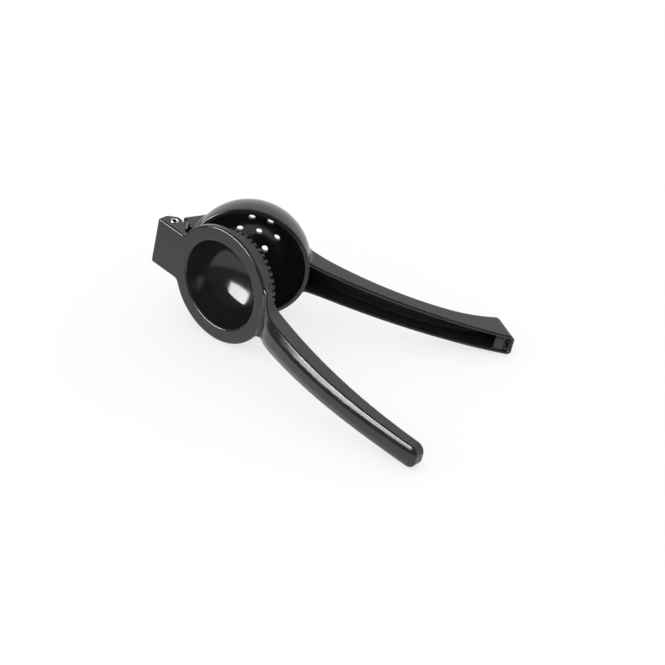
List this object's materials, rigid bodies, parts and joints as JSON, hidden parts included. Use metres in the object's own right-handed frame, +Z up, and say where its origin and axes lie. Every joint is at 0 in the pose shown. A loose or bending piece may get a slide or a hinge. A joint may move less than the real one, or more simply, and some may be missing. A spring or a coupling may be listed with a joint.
{
  "type": "hinged lemon squeezer",
  "caption": "Hand squeezer for citrus: a ribbed press dome and a perforated strainer cup on channel-section handles, hinged on a slotted spring pin.",
  "frame": {"origin": "centre of the bounding box's base: the surface that the tool lies on, half open, on its side", "axes": "+X from the hinge to the handles, along the line that halves the opening; +Y from the press arm to the strainer arm; +Z up"},
  "size_m": [0.2088, 0.146, 0.0721],
  "materials": {
    "enamel": "glossy black enamel over cast aluminium",
    "steel": "plain bright spring steel"
  },
  "bodies": {
    "strainer_arm": {"strainer_arm": "enamel"},
    "press_arm": {"press_arm": "enamel", "spring_pin": "steel"}
  },
  "joints": [
    {"name": "hinge", "type": "hinge", "parent": "strainer_arm", "child": "press_arm", "pos_m": [-0.0935, 0.01761, 0.04466], "axis": [-0.1938, 0, -0.981], "range_deg": [-33.6, 86.4]}
  ]
}
